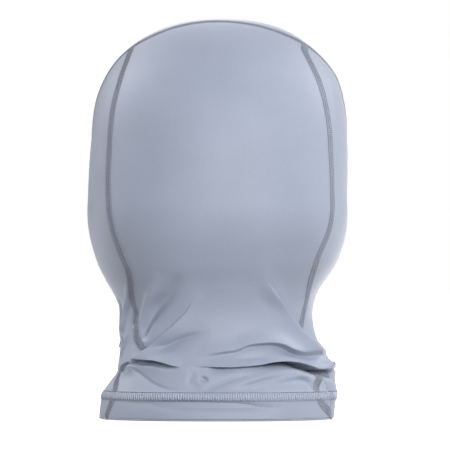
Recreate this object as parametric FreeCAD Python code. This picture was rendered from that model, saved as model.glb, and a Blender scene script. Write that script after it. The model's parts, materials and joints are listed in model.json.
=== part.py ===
import FreeCAD, Part
import math
import os

from FreeCAD import Vector

# A stretch-fabric balaclava as it sits on a head: six knitted panels joined edge to edge by
# flat seams, a bound face opening and a turned-up hem. Millimetres, +Z up, the face towards -Y.
# The origin is the middle of the neck opening, in the plane of the hem's lower edge.

# ---- Driving dimensions -------------------------------------------------------------------
HEIGHT = 270.0  # crown above the hem's lower edge
EAR_HEIGHT = 145.0  # the widest level
HALF_WIDTH = 87.5
BACK_DEPTH = 92.0  # from the widest line to the back of the head
FRONT_DEPTH = 106.0  # from the widest line to the forehead
MIDDLE = 4.0  # how far behind the origin the widest line stands at the ears
ROUNDNESS = 2.2  # power of each level's oval: 2 is an ellipse, more is squarer
CROWN_SIDE_POWER = 3.5  # how flat the crown is seen from behind
CROWN_FRONT_POWER = 2.9  # how flat the crown is seen from the side

# Levels from the hem up to the ears: height, half width, back, front, widest line.
LEVELS = [
    (0.0, 78.8, 74.0, -70.0, 2.0),
    (15.0, 77.8, 73.0, -69.0, 2.0),
    (30.0, 74.8, 69.0, -69.5, 1.0),
    (45.0, 69.7, 65.0, -75.0, 0.0),
    (60.0, 66.0, 62.7, -86.0, -1.0),
    (75.0, 65.7, 64.0, -96.0, -1.0),
    (90.0, 70.2, 71.0, -102.0, 0.0),
    (105.0, 78.3, 81.0, -105.0, 1.0),
    (125.0, 85.4, 91.5, -105.5, 3.0),
    (EAR_HEIGHT, HALF_WIDTH, MIDDLE + BACK_DEPTH, MIDDLE - FRONT_DEPTH, MIDDLE),
]

NOSE_HEIGHT = 116.0
NOSE_RISE = 9.0  # how far the nose lifts the fabric off the face
NOSE_HALF_WIDTH = 22.0
NOSE_HALF_LENGTH = 20.0

FABRIC = 1.0  # thickness of the knitted fabric
CLEAR = 0.25  # between layers that lie on each other
GAP = 0.3  # between two panels' edges under a seam

SEAM_WIDTH = 6.0  # flat seam, over both panels' edges
THREAD_LAYER = 0.45  # thickness of the covering threads on each side
BINDING_WIDTH = 9.0
BINDING_RISE = 0.6  # how far the binding stands proud of the fabric on each side
BINDING_STITCH_WIDTH = 4.0
HEM_DEPTH = 20.0
SEAM_END = 1.0  # where the seams' covering threads stop above the hem's lower edge
HEM_STITCH_LOW = 13.0
HEM_STITCH_HIGH = 19.0

# Face opening, finished edge, seen from the front.
OPENING_HEIGHT = 154.0
OPENING_HALF_WIDTH = 60.0
OPENING_UP = 31.0
OPENING_DOWN = 29.0
OPENING_POWER = 2.3

TEMPLE_HEIGHT = 152.0  # where the temple seams leave the side line
CROWN_CORNER_HEIGHT = 251.0  # where the back seams meet the crown seam

# Seam guides on the wearer's left, which is +X. Back seam, below the crown corner: height,
# distance from the middle.
BACK_SEAM = [
    (243.0, 61.0), (229.0, 66.0), (215.0, 70.0), (202.0, 72.5), (182.0, 74.0), (162.0, 75.0),
    (145.0, 75.0), (130.0, 72.5), (118.0, 68.7), (107.0, 64.5), (94.0, 60.5), (79.0, 57.5),
    (62.0, 56.3), (46.0, 59.0), (30.0, 64.5), (14.0, 68.7), (0.0, 71.0),
]
# Crown seam and front seam, one line: distance from the middle, front to back, height.
SIDE_LINE = [
    (0.0, 29.0, 267.5), (26.0, 31.0, 264.5), (45.0, 30.0, 257.0), (57.0, 24.0, CROWN_CORNER_HEIGHT),
    (67.5, 15.0, 238.0), (75.5, 6.0, 222.0), (81.0, -3.0, 203.0), (84.5, -11.0, 180.0),
    (86.0, -18.0, TEMPLE_HEIGHT), (84.0, -22.0, 126.0), (77.0, -24.0, 105.0),
    (68.0, -23.0, 86.0), (65.0, -21.0, 66.0), (68.0, -19.0, 44.0), (74.0, -18.0, 20.0),
    (77.0, -18.0, 0.0),
]

# Care label, sewn by one edge into the wearer's right back seam, inside the neck.
LABEL_LENGTH = 24.0
LABEL_HEIGHT = 28.0
LABEL_THICKNESS = 0.4
LABEL_BASE = 48.0  # its lower edge above the hem, where the neck is narrowest and upright
LABEL_STANDOFF = 2.6  # from the fabric's outer face to the label's sewn edge
LABEL_LIFT = 20.0  # its angle off the fabric at rest, where it leans towards the nape

PANEL_STEPS = 22  # rows in a panel's longer direction
CROSS_STEPS = 14
LINE_POINTS = 241  # points on a seam's centre line before it is spaced out again


# ---- The hood's outer surface ---------------------------------------------------------------
def hermite(table, at, column):
    """A smooth curve through one column of a table that rises in its first column."""
    rows = len(table)
    k = max(0, min(rows - 2, sum(1 for row in table if row[0] <= at) - 1))

    def slope(i):
        if i == 0 or i == rows - 1:
            return 0.0
        return (table[i + 1][column] - table[i - 1][column]) / (table[i + 1][0] - table[i - 1][0])

    step = table[k + 1][0] - table[k][0]
    u = max(0.0, min(1.0, (at - table[k][0]) / step))
    start, end = table[k][column], table[k + 1][column]
    return (
        (2 * u**3 - 3 * u**2 + 1) * start
        + (u**3 - 2 * u**2 + u) * step * slope(k)
        + (3 * u**2 - 2 * u**3) * end
        + (u**3 - u**2) * step * slope(k + 1)
    )


def level(height):
    """Half width, back and front depth from the widest line, and that line, at a height."""
    if height >= EAR_HEIGHT:
        return HALF_WIDTH, BACK_DEPTH, FRONT_DEPTH, MIDDLE
    half_width, back, front, middle = (hermite(LEVELS, height, column) for column in (1, 2, 3, 4))
    return half_width, back - middle, middle - front, middle


def field(point):
    """Below 1 inside the hood's outer surface, 1 on it, above 1 outside."""
    half_width, back, front, middle = level(point.z)
    if point.y > middle:
        depth = back
    else:
        across = point.x / NOSE_HALF_WIDTH
        along = (point.z - NOSE_HEIGHT) / NOSE_HALF_LENGTH
        depth = front + NOSE_RISE * math.exp(-across * across - along * along)
    side_share = (abs(point.x) / half_width) ** ROUNDNESS
    depth_share = (abs(point.y - middle) / depth) ** ROUNDNESS
    total = side_share + depth_share
    rise = max(0.0, (point.z - EAR_HEIGHT) / (HEIGHT - EAR_HEIGHT))
    sideways = side_share / total if total > 0 else 0.5
    power = CROWN_FRONT_POWER + (CROWN_SIDE_POWER - CROWN_FRONT_POWER) * sideways
    return total + rise**power


def cast(start, direction):
    """Where a ray from inside the hood meets its outer surface."""
    direction = Vector(direction).normalize()
    near, far = 0.0, 2 * HEIGHT
    for _ in range(48):
        middle = (near + far) / 2
        if field(start + direction * middle) < 1:
            near = middle
        else:
            far = middle
    return start + direction * near


def on_hood(point):
    """The point's place on the outer surface, seen from the head's own middle line."""
    height = min(point.z, EAR_HEIGHT)
    centre = Vector(0, level(height)[3], height)
    return cast(centre, point - centre)


def outward(point):
    """The outer surface's normal at a point on it."""
    h = 0.05
    steps = (Vector(h, 0, 0), Vector(0, h, 0), Vector(0, 0, h))
    slopes = [field(point + step) - field(point - step) for step in steps]
    return Vector(*slopes).normalize()


# ---- Lines and grids on that surface --------------------------------------------------------
def spaced(points, count):
    """A line again, as that many evenly spaced points on the hood."""
    along = [0.0]
    for a, b in zip(points, points[1:]):
        along.append(along[-1] + a.distanceToPoint(b))
    line, k = [], 0
    for i in range(count):
        at = along[-1] * i / (count - 1)
        while k < len(points) - 2 and along[k + 1] < at:
            k += 1
        share = (at - along[k]) / (along[k + 1] - along[k])
        line.append(on_hood(points[k] + (points[k + 1] - points[k]) * min(1.0, share)))
    return line


def smooth_line(guides):
    """A smooth line on the hood through guide points near it."""
    curve = Part.BSplineCurve()
    curve.interpolate(guides)
    return spaced(curve.toShape().discretize(Number=LINE_POINTS), LINE_POINTS)


def part_of(line, start, end):
    """The stretch of a line between two distances along it, from its start."""
    kept, along = [], 0.0
    for a, b in zip(line, line[1:]):
        step = a.distanceToPoint(b)
        if start <= along + step and along <= end:
            low = max(0.0, (start - along) / step)
            high = min(1.0, (end - along) / step)
            if not kept:
                kept.append(a + (b - a) * low)
            kept.append(a + (b - a) * high)
        along += step
    return kept


def length_of(line):
    return sum(a.distanceToPoint(b) for a, b in zip(line, line[1:]))


def length_to_height(line, height):
    """Distance along a falling line to where it passes a height."""
    along = 0.0
    for a, b in zip(line, line[1:]):
        if b.z <= height:
            return along + a.distanceToPoint(b) * (a.z - height) / max(1e-9, a.z - b.z)
        along += a.distanceToPoint(b)
    return along


def mirrored(line):
    return [Vector(-p.x, p.y, p.z) for p in line]


def panel_grid(top, bottom, left, right):
    """Points over a four-sided panel whose left and right edges run downwards."""
    rows, columns = len(left), len(top)
    grid = []
    for i in range(rows):
        v = i / (rows - 1)
        row = []
        for j in range(columns):
            u = j / (columns - 1)
            between = top[j] * (1 - v) + bottom[j] * v + left[i] * (1 - u) + right[i] * u
            upper = top[0] * (1 - u) + top[-1] * u
            lower = bottom[0] * (1 - u) + bottom[-1] * u
            row.append(on_hood(between - upper * (1 - v) - lower * v))
        grid.append(row)
    for row in grid:
        pull_in(row)
    for column in range(columns):
        line = [row[column] for row in grid]
        pull_in(line, from_end=False)
        for row, point in zip(grid, line):
            row[column] = point
    return grid


def pull_in(line, from_end=True):
    """Moves a line's first and last point inwards by half the gap between two panels."""
    line[0] = on_hood(line[0] + (line[1] - line[0]).normalize() * GAP / 2)
    if from_end:
        line[-1] = on_hood(line[-1] + (line[-2] - line[-1]).normalize() * GAP / 2)


def strip_grid(line, width):
    """Points over a strip of even width along a line."""
    grid = []
    last = len(line) - 1
    for i, point in enumerate(line):
        along = line[min(i + 1, last)] - line[max(i - 1, 0)]
        sideways = outward(point).cross(along).normalize()
        shares = (-0.5, -0.25, 0.0, 0.25, 0.5)
        grid.append([on_hood(point + sideways * width * share) for share in shares])
    return grid


# ---- Solids ---------------------------------------------------------------------------------
def layer(grid, outer, inner):
    """The closed solid over a grid between two heights above the hood's outer surface."""
    faces, surfaces = [], []
    for rise in (outer, inner):
        surface = Part.BSplineSurface()
        surface.interpolate([[p + outward(p) * rise for p in row] for row in grid])
        surfaces.append(surface)
        faces.append(surface.toShape())
    u0, u1, v0, v1 = surfaces[0].bounds()
    a0, a1, b0, b1 = surfaces[1].bounds()
    rims = [
        (surfaces[0].uIso(u0), surfaces[1].uIso(a0)),
        (surfaces[0].uIso(u1), surfaces[1].uIso(a1)),
        (surfaces[0].vIso(v0), surfaces[1].vIso(b0)),
        (surfaces[0].vIso(v1), surfaces[1].vIso(b1)),
    ]
    faces += [Part.makeRuledSurface(a.toShape(), b.toShape()) for a, b in rims]
    shell = Part.Shell(faces)
    shell.sewShape()
    solid = Part.Solid(Part.Shell(shell.Faces))
    if solid.Volume < 0:
        solid.reverse()
    return solid


def panel(top, bottom, left, right):
    return layer(panel_grid(top, bottom, left, right), 0.0, -FABRIC)


def seam(line, width=SEAM_WIDTH, inside=True, steps=PANEL_STEPS, base=0.0):
    """A flat seam's covering threads: a strip on the outside and one on the inside."""
    grid = strip_grid(spaced(line, steps), width)
    strips = [layer(grid, base + CLEAR + THREAD_LAYER, base + CLEAR)]
    if inside:
        low = -FABRIC - CLEAR
        strips.append(layer(grid, low, low - THREAD_LAYER))
    return strips


def save(name, solids):
    shape = solids[0] if len(solids) == 1 else Part.makeCompound(solids)
    for solid in solids:
        if not solid.isValid() or not solid.isClosed() or solid.Volume <= 0:
            print("PROBLEM", name, solid.isValid(), solid.isClosed(), solid.Volume)
    shape.exportStep(os.path.join("parts", name + ".step"))
    print(f"{name}: {len(solids)} solid(s), {sum(s.Volume for s in solids):.0f} mm3")


# ---- Seam lines -----------------------------------------------------------------------------
def front_point(x, z):
    return cast(Vector(x, level(min(z, EAR_HEIGHT))[3], z), Vector(0, -1, 0))


def back_point(x, z):
    return cast(Vector(x, level(min(z, EAR_HEIGHT))[3], z), Vector(0, 1, 0))


def opening_line(grow, start, end, count=60):
    """The face opening's outline grown by a width, between two angles; 0 is the wearer's left corner."""
    line = []
    for i in range(count):
        angle = math.radians(start + (end - start) * i / (count - 1))
        c, s = math.cos(angle), math.sin(angle)
        up = (OPENING_UP if s > 0 else OPENING_DOWN) + grow
        x = math.copysign(abs(c) ** (2 / OPENING_POWER), c) * (OPENING_HALF_WIDTH + grow)
        z = OPENING_HEIGHT + math.copysign(abs(s) ** (2 / OPENING_POWER), s) * up
        line.append(front_point(x, z))
    return line


def hem_line(start, end, count):
    """The hem's lower edge between two of its points, round the head's middle line."""
    middle = level(0.0)[3]
    first = math.atan2(start.x, start.y - middle)
    last = math.atan2(end.x, end.y - middle)
    line = []
    for i in range(count):
        angle = first + (last - first) * i / (count - 1)
        line.append(cast(Vector(0, middle, 0), Vector(math.sin(angle), math.cos(angle), 0)))
    return line


side_guides = [on_hood(Vector(*guide)) for guide in SIDE_LINE]
whole_line = smooth_line(mirrored(side_guides)[:0:-1] + side_guides)
side_line = spaced(whole_line[LINE_POINTS // 2:], LINE_POINTS)
to_corner = length_to_height(side_line, CROWN_CORNER_HEIGHT)
crown_corner = part_of(side_line, 0.0, to_corner)[-1]
back_line = smooth_line([crown_corner] + [back_point(x, z) for z, x in BACK_SEAM])
to_temple = length_to_height(side_line, TEMPLE_HEIGHT)
crown_half = part_of(side_line, 0.0, to_temple)
crown_back = part_of(side_line, 0.0, to_corner)
front_line = part_of(side_line, to_temple, length_of(side_line))
opening_corner = opening_line(BINDING_WIDTH, 0.0, 1.0)[0]
temple_line = smooth_line([
    front_line[0],
    on_hood(front_line[0] * 0.55 + opening_corner * 0.45 + Vector(9, -9, 1)),
    opening_corner,
])
chin_top = opening_line(BINDING_WIDTH, -90.0, -91.0)[0]
chin_line = smooth_line([front_point(0.0, chin_top.z * (1 - i / 11)) for i in range(12)])

os.makedirs("parts", exist_ok=True)


# ---- Panels ---------------------------------------------------------------------------------
def both_ways(line):
    """A half line from the middle out, as a whole line from the wearer's right to their left."""
    return mirrored(line)[::-1] + line[1:]


def build_panels():
    back_left = spaced(back_line, PANEL_STEPS)
    back_right = mirrored(back_left)
    save("back_panel", [panel(
        spaced(both_ways(crown_back), CROSS_STEPS),
        hem_line(back_right[-1], back_left[-1], CROSS_STEPS),
        back_right,
        back_left,
    )])

    # A side panel narrows to a short edge where the back seam meets the crown seam.
    tip = 3.0
    seam_edge = spaced(part_of(back_line, tip, length_of(back_line)), PANEL_STEPS)
    front_edge = spaced(part_of(side_line, to_corner + tip, length_of(side_line)), PANEL_STEPS)
    top = spaced([seam_edge[0], front_edge[0]], CROSS_STEPS)
    bottom = hem_line(seam_edge[-1], front_edge[-1], CROSS_STEPS)
    side = (top, bottom, seam_edge, front_edge)
    save("left_side_panel", [panel(*side)])
    save("right_side_panel", [panel(*(mirrored(line) for line in side))])

    brow = opening_line(BINDING_WIDTH, 180.0, 0.0)
    temple = spaced(temple_line, CROSS_STEPS)
    save("forehead_panel", [panel(
        spaced(both_ways(crown_half), PANEL_STEPS),
        spaced(brow, PANEL_STEPS),
        mirrored(temple),
        temple,
    )])

    under_eye = opening_line(BINDING_WIDTH, -0.5, -90.0)
    top = spaced(temple_line[:-1] + under_eye, PANEL_STEPS)
    outer = spaced(front_line, PANEL_STEPS)
    inner = spaced(chin_line, PANEL_STEPS)
    face = (top, hem_line(outer[-1], inner[-1] + Vector(1e-6, 0, 0), PANEL_STEPS), outer, inner)
    save("left_face_panel", [panel(*face)])
    save("right_face_panel", [panel(*(mirrored(line) for line in face))])


# ---- Seams, binding and hem -----------------------------------------------------------------
def build_seams():
    beside = SEAM_WIDTH / 2 + GAP
    crown = both_ways(part_of(side_line, 0.0, to_temple - GAP))
    save("crown_seam", seam(crown, steps=2 * PANEL_STEPS))

    def down_to(line, height):
        return part_of(line, 0.0, length_to_height(line, height))

    def to_hem(line):
        """A seam that runs down to the hem: on the inside it stops above the turned-up edge."""
        outside = seam(down_to(line, SEAM_END))[0]
        inside = seam(down_to(line, HEM_DEPTH + SEAM_END))[1]
        return [outside, inside]

    for side, flip in (("left", lambda line: line), ("right", mirrored)):
        below_crown = part_of(back_line, beside + 4.0, length_of(back_line))
        save(f"{side}_back_seam", to_hem(flip(below_crown)))
        save(f"{side}_front_seam", to_hem(flip(front_line)))
        temple = part_of(temple_line, beside, length_of(temple_line) - GAP)
        save(f"{side}_temple_seam", seam(flip(temple)))
    save("centre_front_seam", to_hem(part_of(chin_line, GAP, length_of(chin_line))))


def band_grid(low, high):
    """Points over a band round the face opening, with its two ends at the chin seam."""
    ends = 0.1
    widths = [low + (high - low) * i / 4 for i in range(5)]
    lines = [opening_line(width, ends - 90.0, 270.0 - ends, 61) for width in widths]
    return [list(column) for column in zip(*lines)]


def build_opening():
    binding = band_grid(0.0, BINDING_WIDTH - GAP)
    save("face_opening_binding", [layer(binding, BINDING_RISE, -FABRIC - BINDING_RISE)])
    low = (BINDING_WIDTH - BINDING_STITCH_WIDTH) / 2
    stitching = band_grid(low, low + BINDING_STITCH_WIDTH)
    over = BINDING_RISE + CLEAR
    save("binding_stitching", [layer(stitching, over + THREAD_LAYER, over)])
    for side, flip in (("left", lambda line: line), ("right", mirrored)):
        corner = opening_line(BINDING_WIDTH - 1.3, -9.0, 9.0, 9)
        bar = seam(flip(corner), width=2.0, inside=False, steps=7, base=BINDING_RISE)
        save(f"{side}_bartack", bar)


def sector_grid(first, last, low, high, trim, columns):
    """Points over a band around the neck, between two lines that run down it and clear of both."""
    grid = []
    rows = 4
    for i in range(rows):
        height = low + (high - low) * i / (rows - 1)
        middle = level(height)[3]
        angles = []
        for line, sign in ((first, 1), (last, -1)):
            p = part_of(line, 0.0, length_to_height(line, height))[-1]
            angle = math.atan2(p.x, middle - p.y) % (2 * math.pi)
            angles.append(angle + sign * trim / math.hypot(p.x, p.y - middle))
        start, end = angles
        if end <= start:
            end += 2 * math.pi
        row = []
        for j in range(columns):
            angle = start + (end - start) * j / (columns - 1)
            direction = Vector(math.sin(angle), -math.cos(angle), 0)
            row.append(cast(Vector(0, middle, height), direction))
        grid.append(row)
    return grid


def build_hem():
    order = [chin_line, front_line, back_line, mirrored(back_line), mirrored(front_line), chin_line]
    columns = [9, 7, 15, 7, 9]
    under = -FABRIC - CLEAR
    turned, outside = [], []
    for first, last, count in zip(order, order[1:], columns):
        grid = sector_grid(first, last, 0.0, HEM_DEPTH, GAP / 2, count)
        turned.append(layer(grid, under, under - FABRIC))
        trim = SEAM_WIDTH / 2 + 2 * GAP
        grid = sector_grid(first, last, HEM_STITCH_LOW, HEM_STITCH_HIGH, trim, count)
        outside.append(layer(grid, CLEAR + THREAD_LAYER, CLEAR))
    save("hem_turn_up", turned)
    save("hem_coverstitch", outside)


def build_label():
    """A small woven tag inside the neck, sewn into the wearer's right back seam by one upright edge."""
    height = LABEL_BASE + LABEL_HEIGHT / 2
    seam_point = mirrored(part_of(back_line, 0.0, length_to_height(back_line, height)))[-1]
    normal = outward(seam_point)
    inward = Vector(-normal.x, -normal.y, 0).normalize()
    hinge = seam_point + inward * LABEL_STANDOFF
    towards_nape = inward.cross(Vector(0, 0, 1))
    if towards_nape.y < 0:
        towards_nape = -towards_nape
    lift = math.radians(LABEL_LIFT)
    lean = towards_nape * math.cos(lift) + inward * math.sin(lift)
    corner = Vector(0, -LABEL_THICKNESS / 2, 0)
    tag = Part.makeBox(LABEL_LENGTH, LABEL_THICKNESS, LABEL_HEIGHT, corner)
    tag.rotate(Vector(0, 0, 0), Vector(0, 0, 1), math.degrees(math.atan2(lean.y, lean.x)))
    tag.translate(Vector(hinge.x, hinge.y, LABEL_BASE))
    save("care_label", [tag])
    print(f"label hinge at {hinge.x:.2f} {hinge.y:.2f}, lean {lean.x:.3f} {lean.y:.3f}")


build_panels()
build_seams()
build_opening()
build_hem()
build_label()
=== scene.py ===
import json
import math

import bmesh
import bpy
import numpy as np
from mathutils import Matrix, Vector


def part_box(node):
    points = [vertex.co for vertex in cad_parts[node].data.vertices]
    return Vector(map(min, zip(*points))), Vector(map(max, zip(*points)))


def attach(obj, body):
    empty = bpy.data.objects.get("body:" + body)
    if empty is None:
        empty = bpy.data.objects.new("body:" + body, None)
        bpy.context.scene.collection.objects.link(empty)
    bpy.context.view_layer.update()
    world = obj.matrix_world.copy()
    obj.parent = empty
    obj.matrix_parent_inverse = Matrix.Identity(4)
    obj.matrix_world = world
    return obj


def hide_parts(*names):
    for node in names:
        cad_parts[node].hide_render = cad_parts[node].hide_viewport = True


# A satin grey-blue balaclava seen from behind: knitted panels with flat seams, a bound face opening
# and a neck that has slid down into folds above its hem. Shapes are worked out in millimetres on the
# same hood surface as the frame's, then draped by the folds, and turned into metres as each mesh is made.

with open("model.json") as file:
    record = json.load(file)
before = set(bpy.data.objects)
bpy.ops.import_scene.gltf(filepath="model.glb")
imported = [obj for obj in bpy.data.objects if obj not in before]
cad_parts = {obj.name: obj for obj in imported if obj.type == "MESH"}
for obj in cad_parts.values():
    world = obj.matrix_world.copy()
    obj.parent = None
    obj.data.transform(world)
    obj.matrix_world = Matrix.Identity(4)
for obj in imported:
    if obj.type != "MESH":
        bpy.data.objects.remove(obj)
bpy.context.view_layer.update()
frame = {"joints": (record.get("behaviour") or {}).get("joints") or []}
MM = 0.001

# ---- Driving dimensions, in millimetres, the same as the frame's ----
HEIGHT = 270.0
EAR_HEIGHT = 145.0
HALF_WIDTH = 87.5
BACK_DEPTH = 92.0
FRONT_DEPTH = 106.0
MIDDLE = 4.0
ROUNDNESS = 2.2
CROWN_SIDE_POWER = 3.5
CROWN_FRONT_POWER = 2.9

# Levels from the hem up to the ears: height, half width, back, front, widest line.
LEVELS = np.array([
    (0, 78.8, 74, -70, 2),
    (15, 77.8, 73, -69, 2),
    (30, 74.8, 69, -69.5, 1),
    (45, 69.7, 65, -75, 0),
    (60, 66, 62.7, -86, -1),
    (75, 65.7, 64, -96, -1),
    (90, 70.2, 71, -102, 0),
    (105, 78.3, 81, -105, 1),
    (125, 85.4, 91.5, -105.5, 3),
    (EAR_HEIGHT, HALF_WIDTH, MIDDLE + BACK_DEPTH, MIDDLE - FRONT_DEPTH, MIDDLE),
])

NOSE_HEIGHT = 116.0
NOSE_RISE = 9.0
NOSE_HALF_WIDTH = 22.0
NOSE_HALF_LENGTH = 20.0

FABRIC = 0.75  # thickness of the knit as it is seen at an edge
GAP = 0.1  # between neighbouring panels
SEAM_WIDTH = 5.6
BINDING_WIDTH = 8.7
PANEL_EDGE = 9.0  # the panels' edge under the binding, from the opening
HEM_DEPTH = 20.0
HEM_ROWS = (13.4, 16.2, 19.0)  # the coverstitch's three rows above the hem's lower edge
HEM_FOLD = 1.3  # the hem's rolled lower edge is this high
HEM_RISE = 0.35  # how far the doubled hem stands out
SEAM_FOOT = 1.6  # the seams' lower ends outside
OPENING_HEIGHT = 154.0
OPENING_HALF_WIDTH = 60.0
OPENING_UP = 31.0
OPENING_DOWN = 29.0
OPENING_POWER = 2.3
TEMPLE_HEIGHT = 152.0
CROWN_CORNER_HEIGHT = 251.0

SIDE_LINE = [
    (0, 29, 267.5), (26, 31, 264.5), (45, 30, 257), (57, 24, CROWN_CORNER_HEIGHT),
    (67.5, 15, 238), (75.5, 6, 222), (81, -3, 203), (84.5, -11, 180),
    (86, -18, TEMPLE_HEIGHT), (84, -22, 126), (77, -24, 105),
    (68, -23, 86), (65, -21, 66), (68, -19, 44), (74, -18, 20),
    (77, -18, 0),
]
LINE_POINTS = 601
HALVINGS = 34  # of the distance to the surface, until it is exact
AT_ONCE = 20000  # points handled together
SIDES = ("left", "right")

COARSE = 1.7  # mesh spacing on the head
FINE = 0.85  # mesh spacing round the neck
FINEST = 0.42  # mesh spacing in the tight folds
FINE_BELOW = 116.0
FINEST_BELOW = 66.0
BACK_SPACING = 0.45  # mesh spacing across the back panel
SIDE_COLUMNS, FACE_COLUMNS, FOREHEAD_COLUMNS, TEMPLE_ROWS = 78, 130, 190, 34
HEM_COLUMNS = 640

STITCH_PITCH = 1.35
RUNG_RADIUS = 0.24
ROW_RADIUS = 0.15
BAR_RADIUS = 0.46
ZIGZAG_RADIUS = 0.27
COVER_PITCH = 0.55  # between the points of a coverstitch row
BAR_PITCH = 1.75  # between the coverstitch's bars
GATHERED = 0.7  # how much narrower a seam is inside a tuck
GATHER_REACH = 4.5

EYE_DISTANCE = 4500.0  # the viewpoint, straight behind
EYE_HEIGHT = 130.75
EYE_SIDE = -4.4
VIEW_WIDTH = 304.4  # what the view takes in at the head


# ---- The hood's surface ----
def level_table():
    """The levels' columns at every half millimetre, as smooth curves through the table's rows."""
    heights = LEVELS[:, 0]
    at = np.arange(0.0, EAR_HEIGHT + 0.25, 0.5)
    k = np.clip(np.searchsorted(heights, at, side="right") - 1, 0, len(heights) - 2)
    step = heights[k + 1] - heights[k]
    u = (at - heights[k]) / step
    columns = []
    for values in LEVELS[:, 1:].T:
        slope = np.zeros(len(values))
        slope[1:-1] = (values[2:] - values[:-2]) / (heights[2:] - heights[:-2])
        columns.append(
            (2 * u**3 - 3 * u**2 + 1) * values[k] + (u**3 - 2 * u**2 + u) * step * slope[k]
            + (3 * u**2 - 2 * u**3) * values[k + 1] + (u**3 - u**2) * step * slope[k + 1]
        )
    return at, columns


TABLE_HEIGHTS, TABLE_COLUMNS = level_table()


def level(z):
    """Half width, back and front depth from the widest line, and that line, at each height."""
    half_width, back, front, middle = (np.interp(z, TABLE_HEIGHTS, column) for column in TABLE_COLUMNS)
    return half_width, back - middle, middle - front, middle


def field(p):
    """Below 1 inside the hood's outer surface, 1 on it, above 1 outside."""
    x, y, z = p[..., 0], p[..., 1], p[..., 2]
    half_width, back, front, middle = level(z)
    nose = NOSE_RISE * np.exp(-(x / NOSE_HALF_WIDTH) ** 2 - ((z - NOSE_HEIGHT) / NOSE_HALF_LENGTH) ** 2)
    depth = np.where(y > middle, back, front + nose)
    side_share = (np.abs(x) / half_width) ** ROUNDNESS
    total = side_share + (np.abs(y - middle) / depth) ** ROUNDNESS
    rise = np.clip((z - EAR_HEIGHT) / (HEIGHT - EAR_HEIGHT), 0.0, None)
    sideways = side_share / np.maximum(total, 1e-9)
    return total + rise ** (CROWN_FRONT_POWER + (CROWN_SIDE_POWER - CROWN_FRONT_POWER) * sideways)


def unit(v):
    return v / np.maximum(np.linalg.norm(v, axis=-1, keepdims=True), 1e-12)


def cast(start, direction):
    """Where rays from inside the hood meet its outer surface."""
    direction = unit(np.asarray(direction, float))
    near = np.zeros(direction.shape[:-1] + (1,))
    far = np.full_like(near, HEIGHT)
    for _ in range(HALVINGS):
        half = (near + far) / 2
        inside = (field(start + direction * half) < 1)[..., None]
        near = np.where(inside, half, near)
        far = np.where(inside, far, half)
    return start + direction * near


def on_hood(p):
    """The points' places on the outer surface, seen from the head's own middle line."""
    p = np.asarray(p, float)
    height = np.minimum(p[..., 2], EAR_HEIGHT)
    centre = np.stack([np.zeros_like(height), level(height)[3], height], -1)
    return cast(centre, p - centre)


def outward(p):
    """The outer surface's normals."""
    h = 0.05
    slopes = [field(p + np.eye(3)[k] * h) - field(p - np.eye(3)[k] * h) for k in range(3)]
    return unit(np.stack(slopes, -1))


def tangents(p):
    """The outer surface's normals, and the level and the upward directions along it."""
    normal = outward(p)
    across = unit(np.cross(normal, [0.0, 0.0, 1.0]))
    return normal, across, np.cross(across, normal)


# ---- Folds ----
UNROLL = 70.0  # radius that turns an angle round the neck into a distance
PATH_POINTS = 49  # along each fold
LEVEL_BELOW, TILTED_ABOVE = 60.0, 100.0  # where folds stand out level, and where along the normal


def through_view(p):
    """Where points are seen from the viewpoint behind: sideways and height, in the middle plane."""
    nearer = EYE_DISTANCE / (EYE_DISTANCE - p[..., 1])
    return np.stack([p[..., 0] * nearer, EYE_HEIGHT + (p[..., 2] - EYE_HEIGHT) * nearer], -1)


def cast_round(angle, z):
    """The surface point at an angle round the neck, 0 at the nape and growing to the wearer's left."""
    angle, z = np.broadcast_arrays(np.asarray(angle, float), np.asarray(z, float))
    low = np.minimum(z, EAR_HEIGHT)
    centre = np.stack([np.zeros_like(z), level(low)[3], z], -1)
    return cast(centre, np.stack([np.sin(angle), np.cos(angle), np.zeros_like(z)], -1))


def push(p, normal):
    """The direction folds stand out in: level round the neck, along the normal on the head."""
    tilt = np.clip((p[..., 2] - LEVEL_BELOW) / (TILTED_ABOVE - LEVEL_BELOW), 0.0, 1.0)
    return unit(np.stack([normal[..., 0], normal[..., 1], normal[..., 2] * tilt], -1))


def seek(x, z, move, rounds, furthest, climb=np.inf):
    """Angles and heights round the neck from which move() takes points to where they are seen at x, z.

    Each round makes up most of the miss, in steps small enough to settle close to the outline."""
    angle, height = np.arcsin(np.clip(x / level(z)[0], -0.97, 0.97)), z
    for _ in range(rounds):
        at = through_view(move(cast_round(angle, height)))
        turn = (x - at[:, 0]) / (UNROLL * np.maximum(0.3, np.cos(angle)))
        angle = np.clip(angle + np.clip(0.7 * turn, -0.12, 0.12), -furthest, furthest)
        height = height + np.clip(0.7 * (z - at[:, 1]), -climb, climb)
    return angle, height


def with_foot(guides):
    """Guides as four columns: the rise on the foot side is the lip's where it isn't given."""
    return np.array([guide if len(guide) == 4 else (*guide, guide[2]) for guide in guides], float)


def seen(guides):
    """A fold's guides from where its crest is seen from behind: sideways, height, and its two rises."""
    x, z, lip, foot = with_foot(guides).T
    angle, height = seek(x, z, lambda base: base + push(base, outward(base)) * lip[:, None], 12, 1.6)
    return list(zip(np.degrees(angle), height, lip, foot))


def smooth_through(values, at):
    """Catmull-Rom through evenly numbered values."""
    padded = np.concatenate([[2 * values[0] - values[1]], values, [2 * values[-1] - values[-2]]])
    k = np.clip(np.floor(at).astype(int), 0, len(values) - 2)
    u = at - k
    a, b, c, d = (padded[k + i] for i in range(4))
    return b + 0.5 * u * (c - a + u * (2 * a - 5 * b + 4 * c - d + u * (3 * (b - c) + d - a)))


def smooth_step(t):
    """0 below -1, 1 above 1, smooth between."""
    t = np.clip((t + 1) / 2, 0, 1)
    return t * t * (3 - 2 * t)


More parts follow.
